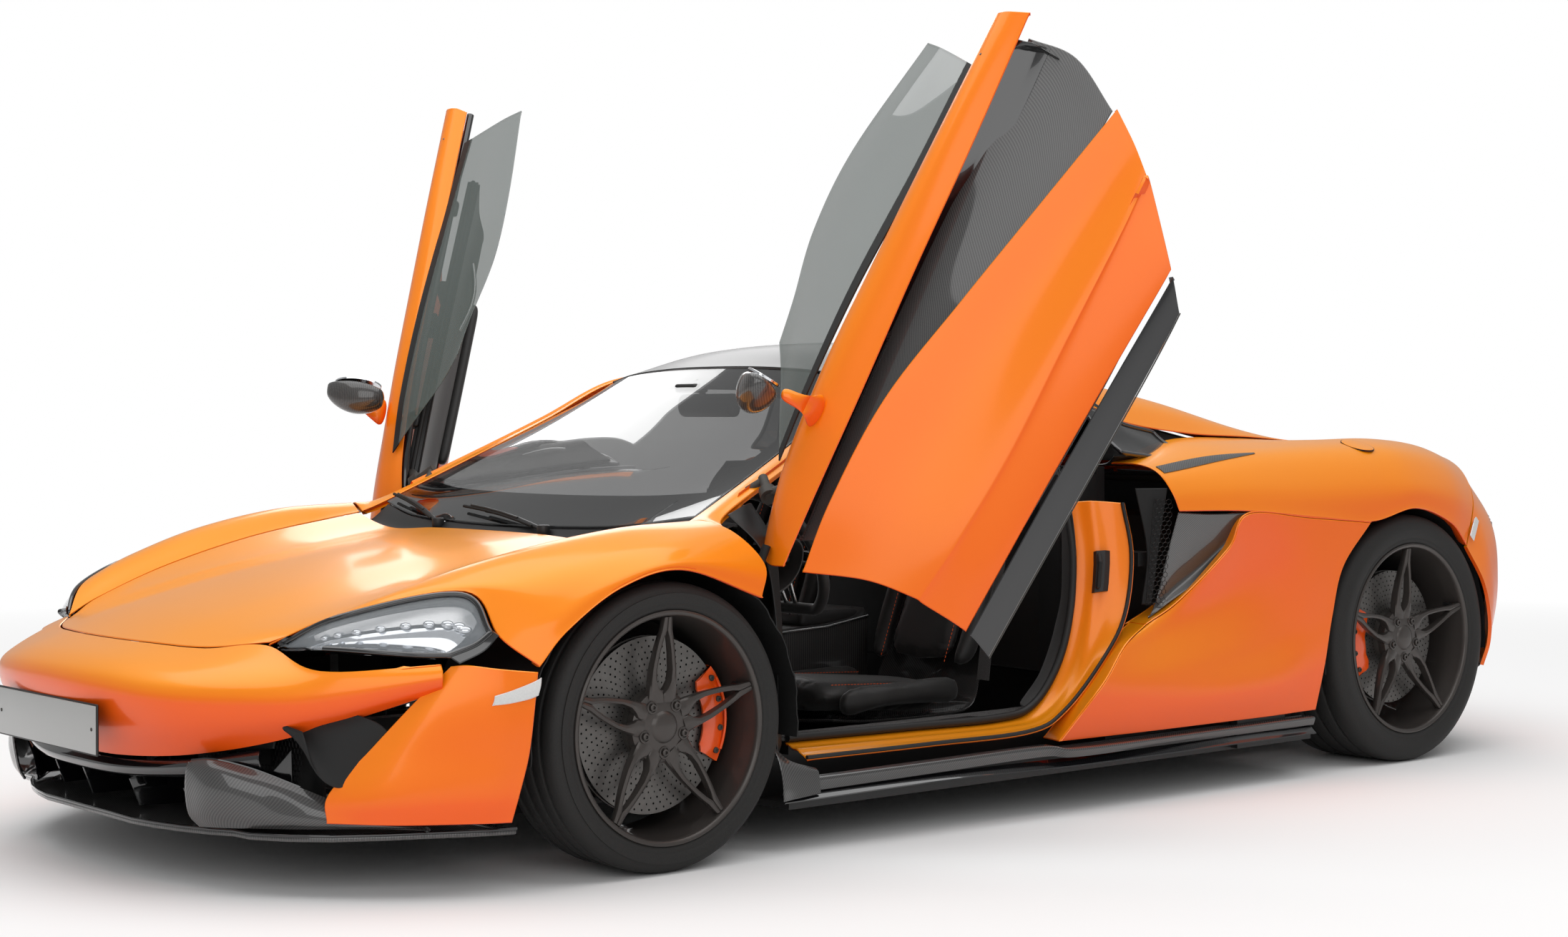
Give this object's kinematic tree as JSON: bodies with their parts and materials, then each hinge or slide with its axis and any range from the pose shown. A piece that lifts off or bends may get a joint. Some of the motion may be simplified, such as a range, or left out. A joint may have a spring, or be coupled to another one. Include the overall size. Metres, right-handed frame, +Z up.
{
  "type": "supercar",
  "caption": "Low mid-engined two-seat coupe with upward-opening doors, front luggage lid, steered front wheels and a hollow cabin.",
  "frame": {"origin": "on the floor under the middle of the overall length, on the centreline", "axes": "+Z up, -Y towards the nose, +X towards the car's left"},
  "size_m": [3.0632, 4.5098, 1.9338],
  "materials": {
    "orange_paint": "bright metallic gloss",
    "black_gloss": "gloss",
    "carbon": "clear-coated carbon twill",
    "black_plastic": "satin",
    "glass": "tinted",
    "lamp_lens": "clear",
    "red_lens": "gloss",
    "rubber": "satin",
    "rim_grey": "satin dark grey",
    "cast_metal": "cast",
    "steel": "brushed",
    "leather": "black leather with orange stitching",
    "carpet": "black carpet"
  },
  "bodies": {
    "body": {"tub": "carpet", "door_jambs": "orange_paint", "front_fenders": "orange_paint", "front_bumper": "orange_paint", "front_intake": "black_gloss", "splitter": "carbon", "headlamps": "lamp_lens", "windscreen": "glass", "roof": "carbon", "rear_fenders": "orange_paint", "rear_deck": "orange_paint", "engine_cover": "black_gloss", "rear_glass": "glass", "side_intakes": "carbon", "side_skirts": "black_gloss", "rear_bumper": "orange_paint", "tail_lamps": "red_lens", "tail_grille": "black_gloss", "exhausts": "steel", "diffuser": "carbon", "undertray": "black_plastic", "wheel_housings": "black_plastic", "engine_block": "cast_metal", "dashboard": "black_plastic", "console": "black_plastic", "seats": "leather", "suspension": "cast_metal", "rear_calipers": "cast_metal"},
    "luggage_lid": {"bonnet": "orange_paint"},
    "hand_wheel": {"steering_wheel": "black_plastic"},
    "left_door": {"left_door_panel": "orange_paint", "left_door_glass": "glass", "left_door_trim": "rim_grey", "left_mirror": "carbon"},
    "front_left_hub": {"front_left_knuckle": "cast_metal"},
    "front_left_wheel": {"front_left_tyre": "rubber", "front_left_rim": "rim_grey"},
    "rear_left_wheel": {"rear_left_tyre": "rubber", "rear_left_rim": "rim_grey"},
    "right_door": {"right_door_panel": "orange_paint", "right_door_glass": "glass", "right_door_trim": "rim_grey", "right_mirror": "carbon"},
    "front_right_hub": {"front_right_knuckle": "cast_metal"},
    "front_right_wheel": {"front_right_tyre": "rubber", "front_right_rim": "rim_grey"},
    "rear_right_wheel": {"rear_right_tyre": "rubber", "rear_right_rim": "rim_grey"}
  },
  "joints": [
    {"name": "left_door_hinge", "type": "hinge", "parent": "body", "child": "left_door", "pos_m": [0.95, -0.912, 0.694], "axis": [0.7519, -0.3824, -0.5371], "range_deg": [-72.66, 0]},
    {"name": "front_left_steer", "type": "hinge", "parent": "body", "child": "front_left_hub", "pos_m": [0.795, -1.235, 0.32], "axis": [0, 0, 1], "range_deg": [-30, 30]},
    {"name": "front_left_spin", "type": "hinge", "parent": "front_left_hub", "child": "front_left_wheel", "pos_m": [0.831, -1.235, 0.32], "axis": [1, 0, 0], "continuous": true},
    {"name": "rear_left_spin", "type": "hinge", "parent": "body", "child": "rear_left_wheel", "pos_m": [0.805, 1.435, 0.354], "axis": [1, 0, 0], "continuous": true},
    {"name": "right_door_hinge", "type": "hinge", "parent": "body", "child": "right_door", "pos_m": [-0.95, -0.912, 0.694], "axis": [0.7519, 0.3824, 0.5371], "range_deg": [-72.66, 0]},
    {"name": "front_right_steer", "type": "hinge", "parent": "body", "child": "front_right_hub", "pos_m": [-0.795, -1.235, 0.32], "axis": [0, 0, 1], "range_deg": [-30, 30]},
    {"name": "front_right_spin", "type": "hinge", "parent": "front_right_hub", "child": "front_right_wheel", "pos_m": [-0.831, -1.235, 0.32], "axis": [1, 0, 0], "continuous": true},
    {"name": "rear_right_spin", "type": "hinge", "parent": "body", "child": "rear_right_wheel", "pos_m": [-0.805, 1.435, 0.354], "axis": [1, 0, 0], "continuous": true},
    {"name": "luggage_lid_hinge", "type": "hinge", "parent": "body", "child": "luggage_lid", "pos_m": [0, -1.045, 0.745], "axis": [-1, 0, 0], "range_deg": [0, 55]},
    {"name": "hand_wheel_turn", "type": "hinge", "parent": "body", "child": "hand_wheel", "pos_m": [0.345, -0.45, 0.64], "axis": [0, 0.9063, 0.4226], "range_deg": [-420, 420]}
  ],
  "couplings": [
    {"joint": "front_right_steer", "follows": "front_left_steer", "ratio": 1},
    {"joint": "hand_wheel_turn", "follows": "front_left_steer", "ratio": 14}
  ]
}
